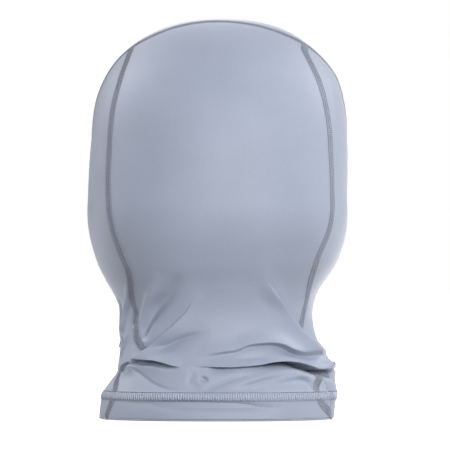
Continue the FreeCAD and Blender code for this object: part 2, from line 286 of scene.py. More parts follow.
class Fold:
    """A ridge, crease or tuck along a smooth path round the neck.

    Guides are angle, height above the hem, and the surface's rise on the lip side and on the foot side
    of the path. Each falls away over its own width, lip and foot. Where the two rises differ, the surface
    steps from one to the other over the soft distance, and a slide pushes the lip out over the foot. The
    lip is the fabric above the path, or below it if lip_up is False."""

    def __init__(self, guides, lip, foot, slide=0.0, soft=0.9, lip_up=True, power=2.0):
        guides = with_foot(guides)
        at = np.linspace(0, len(guides) - 1, PATH_POINTS)
        self.path = np.stack([smooth_through(guides[:, k], at) for k in range(4)], -1)
        self.path[:, 0] = np.radians(self.path[:, 0]) * UNROLL
        along = unit(np.gradient(self.path[:, :2], axis=0))
        normal = np.stack([-along[:, 1], along[:, 0]], -1)
        self.normal = normal * (1.0 if (normal[:, 1].mean() > 0) == lip_up else -1.0)
        self.top = max(0.01, np.abs(self.path[:, 2]).max())
        strength = np.abs(self.path[:, 2:3]) / self.top
        self.path[:, :2] += self.normal * slide * strength
        self.lip, self.foot, self.slide, self.soft, self.power = lip, foot, slide, soft, power

    def beside(self, shares, distance):
        """Points on the undraped hood beside the path, on its foot side if the distance is negative."""
        rows = np.round(np.array(shares) * (len(self.path) - 1)).astype(int)
        at = self.path[rows, :2] + self.normal[rows] * distance
        return cast_round(at[:, 0] / UNROLL, at[:, 1])

    def add(self, angle, z, out, across, up):
        """Adds this fold's offsets for surface points at these angles and heights."""
        middle = self.path[:, 0].mean() / UNROLL
        turned = (angle - middle + np.pi) % (2 * np.pi) - np.pi + middle
        p = np.stack([turned * UNROLL, z], -1)
        reach = 3.0 * max(self.lip, self.foot)
        low, high = self.path[:, :2].min(0) - reach, self.path[:, :2].max(0) + reach
        near = np.nonzero(((p > low) & (p < high)).all(-1))[0]
        for part in np.array_split(near, max(1, len(near) // AT_ONCE + 1)):
            if len(part):
                self.add_near(part, p[part], out, across, up)

    def add_near(self, part, q, out, across, up):
        start, step = self.path[:-1, :2], np.diff(self.path[:, :2], axis=0)
        t = ((q[:, None] - start) * step).sum(-1) / np.maximum((step**2).sum(-1), 1e-9)
        t = np.clip(t, 0, 1)
        foot = start + step * t[..., None]
        gap = np.linalg.norm(q[:, None] - foot, axis=-1)
        best = gap.argmin(1)
        rows = np.arange(len(q))
        share = t[rows, best][:, None]
        row = self.path[best] * (1 - share) + self.path[best + 1] * share
        normal = unit(self.normal[best] * (1 - share) + self.normal[best + 1] * share)
        distance = gap[rows, best]
        side = ((q - foot[rows, best]) * normal).sum(-1)
        on_lip = smooth_step(side / self.soft)
        fall_lip = np.exp(-((distance / self.lip) ** self.power))
        fall_foot = np.exp(-((distance / self.foot) ** self.power))
        fall_lip = np.where(side > 0, fall_lip, np.exp(-((distance / self.foot) ** 2)))
        fall_foot = np.where(side < 0, fall_foot, 1.0)
        out[part] += row[:, 2] * fall_lip * on_lip + row[:, 3] * fall_foot * (1 - on_lip)
        lean = self.slide * np.abs(row[:, 2]) / self.top * fall_lip * on_lip
        across[part] -= normal[:, 0] * lean
        up[part] -= normal[:, 1] * lean


# The apron's two crests, from the nape down over each side of the neck. Their lips cover the seams.
RIGHT_CREST = Fold(seen([(-26.8, 101.8, 0), (-31.8, 94.8, 0.8), (-37.4, 87.7, 2, 1.2),
    (-43.4, 80.6, 3.4, 1.2), (-49, 73.6, 4.8, 0.8), (-55.3, 66.5, 6, 0), (-60.6, 60, 6.6, -1.6),
    (-65.3, 54.8, 6.8, -2.8), (-69.2, 49.4, 6.8, -3), (-73.6, 44, 6.8, -1.4), (-76.7, 39.6, 6, 0)])
    + [(-93, 35.5, 4, 1), (-106, 32, 1.6, 0), (-118, 28, 0)],
    5.4, 6, slide=3.6, soft=1.2, lip_up=False)
LEFT_CREST = Fold(seen([(11.1, 86, 0), (18, 78, 1.2, 0.8), (22.6, 72.5, 2.1, 0.9), (27.4, 67.8, 3, 0.5),
    (32.8, 62.4, 3.7, 0), (39.6, 57, 4.3, -0.8), (46.3, 52.2, 4.6, -1.6), (51.1, 48.5, 4.6, -2),
    (55.1, 45.6, 4.6, -2.2), (59.2, 42.1, 4.8, -2.2), (62.4, 39.1, 4.6, -1.8), (65.3, 35.3, 2.6, -1),
    (68, 31, 0)]), 4, 4.6, slide=2.9, soft=0.9, lip_up=False)

# The roll's lower rim hangs over the black gap at the lower right.
ROLL = Fold(seen([(16.2, 34.6, 0), (8.1, 34.2, 1.2, -0.6), (1, 33.7, 2.4, -3), (-9.1, 33.6, 3, -2.4),
    (-20.2, 34.2, 3.6, -2), (-30.3, 35.2, 4, -5), (-35.5, 36.2, 4.4, -11), (-41.6, 37, 4.8, -17),
    (-48.4, 37.2, 5, -21), (-55.1, 36.7, 5.2, -22), (-58.5, 35.9, 5.2, -22), (-61.9, 34.8, 5, -21),
    (-65.3, 33.4, 3.8, -18), (-68.7, 32.2, 2.2, -14), (-73, 31.8, 0.6, -9), (-76.4, 32, 0.2, -4)])
    + [(-98, 33, 0)], 2.9, 4.2, slide=3.4, soft=0.9)

FOLDS = [
    RIGHT_CREST,
    LEFT_CREST,
    # The shaded band inside the right crest, and the crease under the left one.
    Fold(seen([(-24.2, 86.7, 0), (-33.3, 77.6, -0.8), (-45, 67.8, -1.5), (-53.5, 57.7, -1.6),
        (-58.6, 49.3, 0)]), 5, 5),
    Fold(seen([(52, 43.4, 0), (46.3, 44.9, -2), (39.6, 47.1, -3.4), (32.8, 49.7, -4.2), (26.1, 53, -4.2),
        (19.3, 55.6, -3.2), (12.5, 57, -1.4), (5, 58, 0)]), 2.4, 4.2, power=1.25),
    # The apron's lower left end hangs over a slit, whose lower edge is the band's.
    Fold(seen([(65, 36, 0), (61.2, 36.9, 1.4, -1), (56.5, 37.4, 2.6, -3.4), (51.8, 38, 3.6, -4.8),
        (46.3, 38.2, 4.2, -4.8), (40.9, 37.2, 3.9, -4.4), (36.2, 36, 3, -3), (31.5, 34.8, 1.6, -1.2),
        (25.2, 34.2, 0)]), 5, 3, slide=2, soft=0.8),
    Fold(seen([(65, 34, 0), (60.5, 34.4, 0.4, -1.2), (56.5, 34.8, 0.9, -2.6), (51.8, 35, 1.2, -3),
        (46.3, 34.9, 1.5, -3), (40.9, 34.2, 1.6, -2.6), (35.5, 33.8, 1.6, -1.6), (30.8, 33.8, 1.4, -0.4),
        (22, 34.2, 0.8, 0.8), (14, 35.8, 0)]), 5, 1.5, soft=0.6, lip_up=False),
    # The arch at the apron's lower right and the pocket under it.
    Fold(seen([(13.1, 41.4, 0), (2.3, 42.9, 1.6, -0.8), (-4.4, 43.9, 2.2, -1.2), (-11.1, 44.7, 2.6, -1.3),
        (-16.6, 46.3, 3.2, -1.4), (-21.2, 48.3, 4, -1.5), (-29.4, 49.3, 4.8, -1.8), (-38.3, 49.6, 5, -2),
        (-45, 48.3, 5, -2.6), (-49.7, 46.1, 4.6, -3.2), (-55.1, 43.9, 3.6, -3.6), (-60, 42.6, 1.6, -2.6),
        (-64.5, 42, 0.3, -0.8), (-68, 41.6, 0)]), 7, 3.2, slide=1.6, soft=1.9),
    Fold(seen([(-36.3, 44.9, 0), (-46.4, 44.3, -1.6), (-54.5, 42.4, -3.4), (-60.5, 40.8, -4.4),
        (-66, 39.4, -3.2), (-70.5, 38.2, -1.2), (-73, 38, 0)]), 2.3, 2.3),
    Fold(seen([(-8, 40, 0), (-18, 40.6, -0.7), (-29.4, 41.6, -1.1), (-41.6, 42.2, -1.2), (-50, 42, 0)]),
        1.4, 1.4, power=1.4),
    # The roll under the pocket, over the black gap, and the band's edge below the gap.
    ROLL,
    Fold(seen([(-32, 34.4, 0), (-36.2, 34.8, 0.4, -0.8), (-41.6, 35, 0.8, -3), (-48.4, 34.6, 1.2, -4.6),
        (-55.1, 33.6, 1.2, -5), (-61.9, 31.9, 1, -4.4), (-67.3, 30.2, 0.8, -3), (-72.7, 29.8, 0.6, -2),
        (-78, 30, 0)]), 4, 1.7, soft=0.6, lip_up=False),
    # The curl at the roll's right end.
    Fold(seen([(-60, 39.6, 0), (-65, 36.6, 0.5), (-69.5, 34.6, 0.8), (-72.6, 34.6, 0.6), (-74, 37, 0.3),
        (-74.4, 40.5, 0)]), 1.3, 1.3),
    # The lower band: the smile crease, the dimple and fine pulls.
    Fold(seen([(60.6, 35.2, 0), (56.5, 31.9, -1.2), (53.1, 29.7, -1.6), (46.3, 24.7, -1.8),
        (39.6, 21.2, -1.6), (32.8, 19.1, -1.1), (21.2, 18.3, 0)]), 1.8, 1.2, power=1.25),
    Fold(seen([(12.6, 18.2, 0), (7.1, 19.4, -1.3), (-1, 22.5, -1.7), (-8.1, 25.5, -1.5), (-15.1, 27.8, -1),
        (-22.2, 29.9, 0)]), 1.8, 1.2, power=1.25),
    Fold(seen([(17.2, 33.7, 0), (18, 29.1, -0.5), (19.2, 24.1, -0.8), (14.6, 20.4, -0.8), (8.6, 18, 0)]),
        2.6, 2.4),
    Fold(seen([(13, 27.6, 0), (9.8, 26.5, -2.4), (6.5, 26, 0)]), 1.5, 1.6),
    Fold(seen([(-13.1, 18.2, 0), (-31.3, 20.6, -1), (-41.4, 23.1, -1.6), (-48.5, 24.9, -2), (-55, 26.1, -2.2),
        (-59.6, 23.6, -2), (-62.1, 18, 0)]), 1.7, 1.3),
    Fold(seen([(-3, 19.6, 0), (-18.2, 24.5, 0.9), (-29.3, 27.7, 1.1), (-42.4, 31.1, 0)]), 1.8, 1.9),
    Fold(seen([(-12.1, 20, 0), (-22.2, 22.7, -0.9), (-34.3, 26.1, -1), (-46.4, 29.1, 0)]),
        1.6, 1.6, power=1.4),
    Fold(seen([(-26.3, 18.6, 0), (-36.3, 21.2, 0.8), (-48.5, 23.7, 0.9), (-56.5, 28.1, 0)]),
        1.5, 1.6),
    Fold(seen([(64, 10.6, 0), (46.4, 10.6, -1.4), (36.3, 10, -2.8), (22.2, 9.4, -3.8), (5, 9, -3.8),
        (-12.1, 8.4, -3), (-28.3, 7.4, -1.8), (-44, 6.4, 0)]), 2.2, 3.2, power=1.6),
    Fold(seen([(60, 15, 0), (36, 14.4, 0.8), (5, 14, 1.1), (-28, 14, 0.8), (-52, 14, 0)]), 4, 2.6),
    # The folded edge beside the right seam, and the hollow beyond it.
    Fold([(-64, 33, 0), (-65.5, 26, 0.8, -7), (-68, 17, 1, -8), (-71.5, 8, 0.8, -5), (-76, 0, 0)],
        2, 6, slide=0.6, soft=1.5, lip_up=False),
    # Soft standing folds on the left of the nape.
    Fold(seen([(40.4, 98.8, 0), (45.4, 86.7, 2), (48.5, 80.1, 2.9), (51.1, 71.9, 3.4), (53.8, 65.2, 3),
        (55.5, 57.4, 0)]), 4, 3.2, lip_up=False),
    Fold(seen([(26.3, 97.8, 0), (32.3, 84.7, -2.2), (36.9, 78.6, -3), (42.9, 69.9, -3.8), (47.7, 59.7, -3.6),
        (50.5, 51.8, 0)]), 4.2, 4.2),
    Fold(seen([(56.5, 75.6, 0), (54.5, 70.5, -2), (55, 66, -2.2), (57, 60.9, 0)]), 1.8, 1.8),
    # Near-vertical folds at the outline on the left side.
    Fold(seen([(60.6, 92.7, 0), (62, 80.6, 1.8), (63.8, 73, 2.4), (65.3, 63.5, 2.6), (65.8, 53.4, 0)]),
        1.7, 1.9),
    Fold([(62, 60, 0), (67, 53, 1.5), (72, 46, 1.9), (80, 38, 0)], 1.5, 2),
    Fold([(70, 62, 0), (75, 53.5, -1.6), (79, 46, -1.8), (86, 38, 0)], 1.8, 1.8),
    Fold([(74, 84, 0), (77, 74, -1.6), (80, 64, -1.6), (82, 55, 0)], 1.8, 1.8),
    # The same folds carried on round the sides and under the chin.
    Fold([(-88, 42, 0), (-100, 44, 2.4, -1), (-117, 48, 4.2, -2.2), (-136, 54, 3.4, -2), (-154, 58, 1.6, -1),
        (-168, 60, 0)], 4.5, 3, slide=2.6, soft=1),
    Fold([(96, 46, 0), (106, 47.5, 1.8, -1), (118, 50, 3.6, -2), (134, 53, 3.2, -2), (150, 56, 1.4, -0.6),
        (163, 57, 0)], 4.5, 3, slide=2.6, soft=1),
    Fold([(146, 43, 0), (166, 37, 2, -1), (184, 34, 3, -1.8), (204, 38, 2.2, -1), (218, 44, 0)],
        4.5, 3, slide=1.8, soft=1.2),
    Fold([(-136, 36, 0), (-152, 29, 1.6), (-166, 24.5, 1.4), (-178, 21.5, 0)], 2.4, 3),
    Fold([(136, 35, 0), (150, 29, 1.5), (164, 25, 0)], 2.4, 3),
    Fold([(120, 78, 0), (140, 68, 1.4), (160, 61, 1.9), (180, 59, 2), (200, 61, 1.9), (220, 68, 1.4),
        (240, 78, 0)], 5, 3),
]


def small_folds(count):
    """Small slanting folds round the sides and under the chin, where the neck's slack ends up."""
    pick = np.random.default_rng(7)
    for _ in range(count):
        middle, height = pick.uniform(100, 260), pick.uniform(12, 74)
        reach, climb = pick.uniform(9, 24), pick.uniform(-7, 7)
        rise, width = pick.uniform(0.5, 1.1) * pick.choice([-1, 1, 1]), pick.uniform(1.7, 3.2)
        bow = pick.uniform(-2.5, 2.5)
        yield Fold([(middle - reach, height - climb, 0), (middle, height + bow, rise),
                    (middle + reach, height + climb, 0)], width, width * pick.uniform(0.7, 1.3))


FOLDS += small_folds(46)

# How far the outline stands outside the even shape of the hood on each side: height, distance.
LEFT_OUTLINE = np.array([
    (0, 1.6), (9, 1.2), (15.7, 0.8), (21, -0.6), (25, -2.8), (29, -5.0), (32.5, -6.0), (37, -5.0),
    (46, -2.9), (51, -1.9), (56, 0.3), (61, 1.6), (68, 1.8), (76, 1.6), (85, 3.0), (94, 4.4), (107, 3.4),
    (121, 2.2), (148, 0.8), (188, -0.7), (215, 0.2), (242, -0.4), (264, -1.6),
])
RIGHT_OUTLINE = np.array([
    (0, -1.2), (9, 0.2), (20, 2.8), (27, 3.4), (30, 3.6), (33.5, 1.0), (36, 0.6), (39.5, 2.2), (43, 2.4),
    (47.5, 0.8), (52, -0.4), (61, -1.3), (68, -1.7), (80, -1.7), (87, -1.2), (94, 0.3), (107, 1.5),
    (121, 0.9), (148, -0.6), (188, 0.4), (215, 2.2), (229, 3.4), (242, 2.6), (253, 2.2), (264, 3.0),
])


def draped(p):
    """Where surface points go once the neck has slid into its folds."""
    p = np.asarray(p, float)
    flat = p.reshape(-1, 3)
    normal, across, upwards = tangents(flat)
    z = flat[:, 2]
    angle = np.arctan2(flat[:, 0], flat[:, 1] - level(np.minimum(z, EAR_HEIGHT))[3])
    low = np.nonzero(z < FINE_BELOW)[0]
    offsets = [np.zeros(len(low)) for _ in range(3)]
    for fold in FOLDS:
        fold.add(angle[low], z[low], *offsets)
    out, slip, rise = (np.zeros(len(flat)) for _ in range(3))
    out[low], slip[low], rise[low] = offsets
    left, right = (np.interp(z, *outline.T) for outline in (LEFT_OUTLINE, RIGHT_OUTLINE))
    sideways = np.sin(angle)
    out += np.where(sideways > 0, left, right) * np.abs(sideways) ** 3 * np.abs(normal[:, 0])
    out += HEM_RISE / (1 + np.exp((z - HEM_DEPTH) / 0.35))
    moved = flat + push(flat, normal) * out[:, None] + across * slip[:, None] + upwards * rise[:, None]
    return moved.reshape(p.shape)


def draped_normal(p):
    """Normals of the draped surface, by stepping a little along it each way."""
    _, across, upwards = tangents(p)
    step = 0.35
    side = draped(p + across * step) - draped(p - across * step)
    rise = draped(p + upwards * step) - draped(p - upwards * step)
    return unit(np.cross(rise, side))


# The back seams as they are seen from behind, above and below where the crests hide them.
LEFT_SEAM_ABOVE = [
    (61.2, 243.7), (64.3, 235.6), (68, 223.5), (71.4, 208.8), (73.1, 194.7), (73.9, 179.6), (74.7, 161.4),
    (74.1, 143.2), (71.4, 127.1), (68, 117), (63.9, 106.9), (60.9, 100.3), (59.2, 90.2), (58.1, 80.6),
    (56, 74.1), (54.9, 67.5), (55.9, 60.4), (55.5, 55.4), (53.5, 50.7),
]
LEFT_SEAM_BELOW = [(65.8, 33), (68.1, 27.1), (69.5, 20), (71.5, 13), (73.7, 6.9), (76.2, -0.2)]
RIGHT_SEAM_ABOVE = [
    (-58.6, 247.8), (-64.6, 235.6), (-70, 222), (-73.1, 208.5), (-75.1, 194.7), (-75.9, 179.6),
    (-76.7, 161.4), (-77.1, 143.2), (-74.7, 127.1), (-70.7, 117), (-66.6, 106.9), (-63.4, 96.8),
    (-60.9, 86.7), (-59.1, 77.6), (-57.1, 70),
]
RIGHT_SEAM_BELOW = [(-67.3, 28.6), (-66.2, 22.1), (-67.6, 15), (-71.2, 8.4), (-76.2, 0.8)]


# ---- Lines on the surface ----
def distances(line):
    return np.concatenate([[0.0], np.cumsum(np.linalg.norm(np.diff(line, axis=0), axis=1))])


def length_of(line):
    return distances(line)[-1]


def at_shares(line, shares):
    """A line again, at these shares of its length."""
    line = np.asarray(line, float)
    along = distances(line)
    points = np.stack([np.interp(np.asarray(shares) * along[-1], along, line[:, k]) for k in range(3)], -1)
    return on_hood(points)


def evenly(line, count):
    return at_shares(line, np.linspace(0, 1, count))


def smooth_line(guides):
    """A smooth line on the hood through guide points near it."""
    guides = np.asarray(guides, float)
    at = np.linspace(0, len(guides) - 1, LINE_POINTS)
    return evenly(np.stack([smooth_through(guides[:, k], at) for k in range(3)], -1), LINE_POINTS)


def part_of(line, start, end=np.inf):
    """The stretch of a line between two distances along it."""
    length = length_of(line)
    return at_shares(line, np.linspace(start, min(end, length), LINE_POINTS) / length)


def length_to_height(line, height):
    """Distance along a falling line to where it passes a height."""
    return float(np.interp(-height, -line[:, 2], distances(line)))


def down_to(line, height):
    return part_of(line, 0.0, length_to_height(line, height))


def mirrored(line):
    return np.asarray(line) * [-1.0, 1.0, 1.0]


def on_side(side, line):
    return line if side == "left" else mirrored(line)


def both_sides(line):
    """A line that starts in the middle, joined to its mirror image."""
    return np.concatenate([mirrored(line)[::-1], line[1:]])


def front_points(x, z):
    x, z = np.broadcast_arrays(np.asarray(x, float), np.asarray(z, float))
    start = np.stack([x, level(np.minimum(z, EAR_HEIGHT))[3], z], -1)
    return cast(start, np.broadcast_to([0.0, -1.0, 0.0], start.shape))


def opening_line(grow, start, end, count):
    """The face opening's outline grown by a width, between two angles; 0 is the wearer's left corner."""
    angle = np.radians(np.linspace(start, end, count))
    c, s = np.cos(angle), np.sin(angle)
    up = np.where(s > 0, OPENING_UP, OPENING_DOWN) + grow
    x = np.sign(c) * np.abs(c) ** (2 / OPENING_POWER) * (OPENING_HALF_WIDTH + grow)
    z = OPENING_HEIGHT + np.sign(s) * np.abs(s) ** (2 / OPENING_POWER) * up
    return front_points(x, z)


def under_seen(points):
    """Points on the undraped hood that end up, draped, where they are seen from behind."""
    return cast_round(*seek(*np.array(points, float).T, draped, 14, 1.55, climb=4))


def back_line(corner, above, hidden, below):
    """A back seam's line, from the crown seam's corner to the hem."""
    return smooth_line(np.concatenate([[corner], under_seen(above), hidden, under_seen(below)]))


# Where each back seam runs hidden inside the tucks.
LEFT_HIDDEN = LEFT_CREST.beside([0.62, 0.68, 0.74, 0.80, 0.86], -1.3)
RIGHT_HIDDEN = np.concatenate([
    RIGHT_CREST.beside([0.50, 0.57, 0.64, 0.71, 0.78], -1.4),
    ROLL.beside([0.90], -1.8), ROLL.beside([0.84], -2.6)])

side_line = smooth_line(both_sides(on_hood(np.array(SIDE_LINE))))
side_line = evenly(side_line[LINE_POINTS // 2:], LINE_POINTS)
to_corner = length_to_height(side_line, CROWN_CORNER_HEIGHT)
to_temple = length_to_height(side_line, TEMPLE_HEIGHT)
crown_corner = part_of(side_line, 0.0, to_corner)[-1]
back_lines = {
    "left": back_line(crown_corner, LEFT_SEAM_ABOVE, LEFT_HIDDEN, LEFT_SEAM_BELOW),
    "right": back_line(mirrored(crown_corner), RIGHT_SEAM_ABOVE, RIGHT_HIDDEN, RIGHT_SEAM_BELOW),
}
front_line = part_of(side_line, to_temple)
opening_corner = opening_line(PANEL_EDGE, 0.0, 0.0, 1)[0]
bend = on_hood(front_line[0] * 0.55 + opening_corner * 0.45 + np.array([9.0, -9.0, 1.0]))
temple_line = smooth_line([front_line[0], bend, opening_corner])
chin_top = opening_line(PANEL_EDGE, -90.0, -90.0, 1)[0][2]
chin_line = smooth_line(front_points(0.0, np.linspace(chin_top, 0.0, 12)))


def shares_by_height(line):
    """Shares along a falling line, wide apart on the head and close together in the folds."""
    along = distances(line)
    spacing = np.where(line[:, 2] > FINE_BELOW, COARSE, np.where(line[:, 2] > FINEST_BELOW, FINE, FINEST))
    rows = np.concatenate([[0.0], np.cumsum(np.diff(along) / spacing[1:])])
    return np.interp(np.linspace(0, rows[-1], int(rows[-1]) + 2), rows, along) / along[-1]


def level_line(start, end, count):
    """The line round the neck between two points of one height."""
    middle = float(level(start[2])[3])
    angles = [math.atan2(point[0], point[1] - middle) for point in (start, end)]
    return cast_round(np.linspace(*angles, count), np.full(count, start[2]))


# ---- Meshes ----
def add_object(name, data):
    obj = bpy.data.objects.new(name, data)
    bpy.context.scene.collection.objects.link(obj)
    return obj


def new_object(name, verts, faces, material, uvs=None):
    """A mesh object in metres from points in millimetres."""
    mesh = bpy.data.meshes.new(name)
    mesh.from_pydata([tuple(v) for v in np.asarray(verts) * MM], [], faces)
    mesh.update()
    if uvs is not None:
        layer = mesh.uv_layers.new(name="knit")
        index = np.empty(len(mesh.loops), int)
        mesh.loops.foreach_get("vertex_index", index)
        layer.data.foreach_set("uv", np.asarray(uvs, np.float32)[index].ravel())
    mesh.polygons.foreach_set("use_smooth", [True] * len(mesh.polygons))
    mesh.materials.append(material)
    return add_object(name, mesh)


def recalculate_normals(obj):
    mesh = bmesh.new()
    mesh.from_mesh(obj.data)
    bmesh.ops.recalc_face_normals(mesh, faces=mesh.faces)
    mesh.to_mesh(obj.data)
    mesh.free()


def grid_faces(rows, columns, offset=0, wrap=False):
    """Quads over a grid of points numbered row by row."""
    faces = []
    for i in range(rows - 1):
        for j in range(columns if wrap else columns - 1):
            a = offset + i * columns + j
            b = offset + i * columns + (j + 1) % columns
            faces.append((a, b, b + columns, a + columns))
    return faces


def shell(outer, inner):
    """Points and quads of the closed shell between two grids."""
    rows, columns = outer.shape[:2]
    verts = np.concatenate([outer.reshape(-1, 3), inner.reshape(-1, 3)])
    count = rows * columns
    faces = grid_faces(rows, columns) + [quad[::-1] for quad in grid_faces(rows, columns, count)]
    at = np.arange(count).reshape(rows, columns)
    rim = np.concatenate([at[:, 0], at[-1, 1:], at[-2::-1, -1], at[0, -2:0:-1]]).tolist()
    for a, b in zip(rim, rim[1:] + rim[:1]):
        faces.append((a, b, b + count, a + count))
    return verts, faces


def panel(name, top, bottom, left, right):
    """A fabric panel: a Coons patch on the hood, draped, with its own thickness."""
    rows, columns = len(left), len(top)
    row, column = rows // 2, columns // 2
    u = np.linspace(0, 1, columns)[None, :, None]
    v = (distances(left) / length_of(left))[:, None, None]
    between = top[None] * (1 - v) + bottom[None] * v + left[:, None] * (1 - u) + right[:, None] * u
    corners = (top[0] * (1 - u) + top[-1] * u) * (1 - v) + (bottom[0] * (1 - u) + bottom[-1] * u) * v
    grid = on_hood(between - corners)
    for edge, inside in ((0, 1), (-1, -2)):
        grid[:, edge] = on_hood(grid[:, edge] + unit(grid[:, inside] - grid[:, edge]) * GAP / 2)
    outer = draped(grid)
    normal = unit(np.cross(np.gradient(outer, axis=0), np.gradient(outer, axis=1)))
    normal = normal * math.copysign(1.0, (normal * outward(grid)).sum(-1).mean())
    verts, faces = shell(outer, outer - normal * FABRIC)
    a, b, c = (verts[i] for i in faces[row * (columns - 1) + column][:3])
    if np.dot(np.cross(b - a, c - a), normal[row, column]) <= 0:
        faces = [face[::-1] for face in faces]
    steps = np.linalg.norm(np.diff(grid, axis=1), axis=-1)
    across = np.concatenate([np.zeros((rows, 1)), np.cumsum(steps, 1)], 1)
    across = across - across[:, column:column + 1]
    uvs = np.stack([across * MM, grid[..., 2] * MM], -1).reshape(-1, 2)
    return new_object(name, verts, faces, shell_fabric, np.concatenate([uvs, uvs]))


def tubes(paths, normals, radius, sides=6):
    """Points and quads of round threads along many paths of equal count, with closed ends."""
    points = paths.shape[1]
    along = unit(np.gradient(paths, axis=1))
    across = unit(np.cross(along, normals))
    up = np.cross(across, along)
    turn = np.linspace(0, 2 * np.pi, sides, endpoint=False)
    ring = np.cos(turn)[:, None] * across[:, :, None] + np.sin(turn)[:, None] * up[:, :, None]
    verts = (paths[:, :, None] + ring * radius).reshape(-1, 3)
    faces = []
    for start in range(0, len(verts), points * sides):
        faces += grid_faces(points, sides, start, wrap=True)
        end = start + (points - 1) * sides
        faces += [tuple(range(start, start + sides))[::-1], tuple(range(end, end + sides))]
    return verts, faces


class Threads:
    """Collects threads and makes one mesh of them."""

    def __init__(self):
        self.verts, self.faces, self.second, self.count = [], [], [], 0

    def add(self, spots, height, radius, second=False):
        """Threads over rows of points on the hood, this high above the draped fabric."""
        spots = spots.reshape(-1, *spots.shape[-2:])
        normals = draped_normal(spots)
        verts, faces = tubes(draped(spots) + normals * height[..., None], normals, radius)
        self.faces += [tuple(i + self.count for i in face) for face in faces]
        self.second += [int(second)] * len(faces)
        self.verts.append(verts)
        self.count += len(verts)

    def make(self, name, *materials):
        obj = new_object(name, np.concatenate(self.verts), self.faces, materials[0])
        for material in materials[1:]:
            obj.data.materials.append(material)
        obj.data.polygons.foreach_set("material_index", self.second)
        return obj


def across_line(line, count):
    """Evenly spaced points on a line, the direction across it on the surface, and the one along it."""
    points = evenly(line, count)
    along = unit(np.gradient(points, axis=0))
    return points, unit(np.cross(outward(points), along)), along


def gathering(points):
    """How wide a seam is at these points, as a share of its full width: less where a tuck hides it."""
    hidden = np.concatenate([LEFT_HIDDEN, RIGHT_HIDDEN])
    near = np.linalg.norm(points[:, None] - hidden, axis=-1).min(1)
    return 1 - GATHERED * np.exp(-((near / GATHER_REACH) ** 4))


def stitch_wave(count, middle, swing):
    """The height of a sewn row, which dips into the fabric at every fourth point."""
    return middle + swing * np.cos(np.arange(count) * np.pi / 2)


def ladder(threads, line, inside=False):
    """A flat seam's threads: rungs across the seam, and needle rows along it."""
    base, sign = (-FABRIC, -1.0) if inside else (0.0, 1.0)
    count = max(6, int(length_of(line) / STITCH_PITCH))
    points, sideways, along = across_line(line, count)
    shares = np.linspace(-1, 1, 7)
    lean = np.where(np.arange(count) % 2 == 0, 0.16, -0.16)[:, None, None] * STITCH_PITCH
    wide = gathering(points)[:, None] * SEAM_WIDTH / 2
    spots = points[:, None] + sideways[:, None] * shares[None, :, None] * wide[:, None]
    spots = on_hood(spots + along[:, None] * lean * shares[None, :, None])
    threads.add(spots, base + sign * (0.16 + 0.16 * (1 - shares**4)), RUNG_RADIUS)
    fine = count * 4
    points, sideways, _ = across_line(line, fine)
    wave = base + sign * stitch_wave(fine, 0.34, 0.13)
    for row in (-1.0, 0.0, 1.0):
        spots = on_hood(points + sideways * gathering(points)[:, None] * SEAM_WIDTH / 2 * 0.9 * row)
        threads.add(spots, wave, ROW_RADIUS)


def zigzag(threads, line, width, pitch, lift):
    """One thread that goes from side to side along a line, dipping into the fabric at each turn."""
    turns = max(6, int(length_of(line) / pitch)) * 2
    steps = 6
    count = turns * steps + 1
    points, sideways, _ = across_line(line, count)
    phase = np.arange(count) / steps
    swing = np.abs((phase % 2) - 1) * 2 - 1
    height = lift + 0.12 * (1 - swing**4) - 0.1 * swing**8
    threads.add(on_hood(points + sideways * (swing * width / 2)[:, None]), height, ZIGZAG_RADIUS)


def swept(name, ring, profile, material, wrap):
    """A closed profile swept along a ring of lines: ring(width) is a line, profile loops width, lift."""
    grid = []
    for width, lift in profile:
        line = ring(width)
        grid.append(draped(line) + draped_normal(line) * lift)
    grid = np.stack(grid)
    rows, columns = grid.shape[:2]
    count = rows * columns
    faces = [tuple(i % count for i in quad) for quad in grid_faces(rows + 1, columns, wrap=wrap)]
    if not wrap:
        faces.append(tuple(range(0, count, columns)))
        faces.append(tuple(range(columns - 1, count, columns))[::-1])
    along = np.broadcast_to(distances(grid[0]), (rows, columns))
    around = np.broadcast_to(distances(grid[:, 0])[:, None], (rows, columns))
    uvs = np.stack([along * MM, around * MM], -1).reshape(-1, 2)
    obj = new_object(name, grid.reshape(-1, 3), faces, material, uvs)
    recalculate_normals(obj)
    return obj


# ---- Materials ----
WHITE = (1.0, 1.0, 1.0, 1.0)


def put(node, values):
    """Sets a node's input sockets."""
    for socket, value in values.items():
        node.inputs[socket].default_value = value
    return node


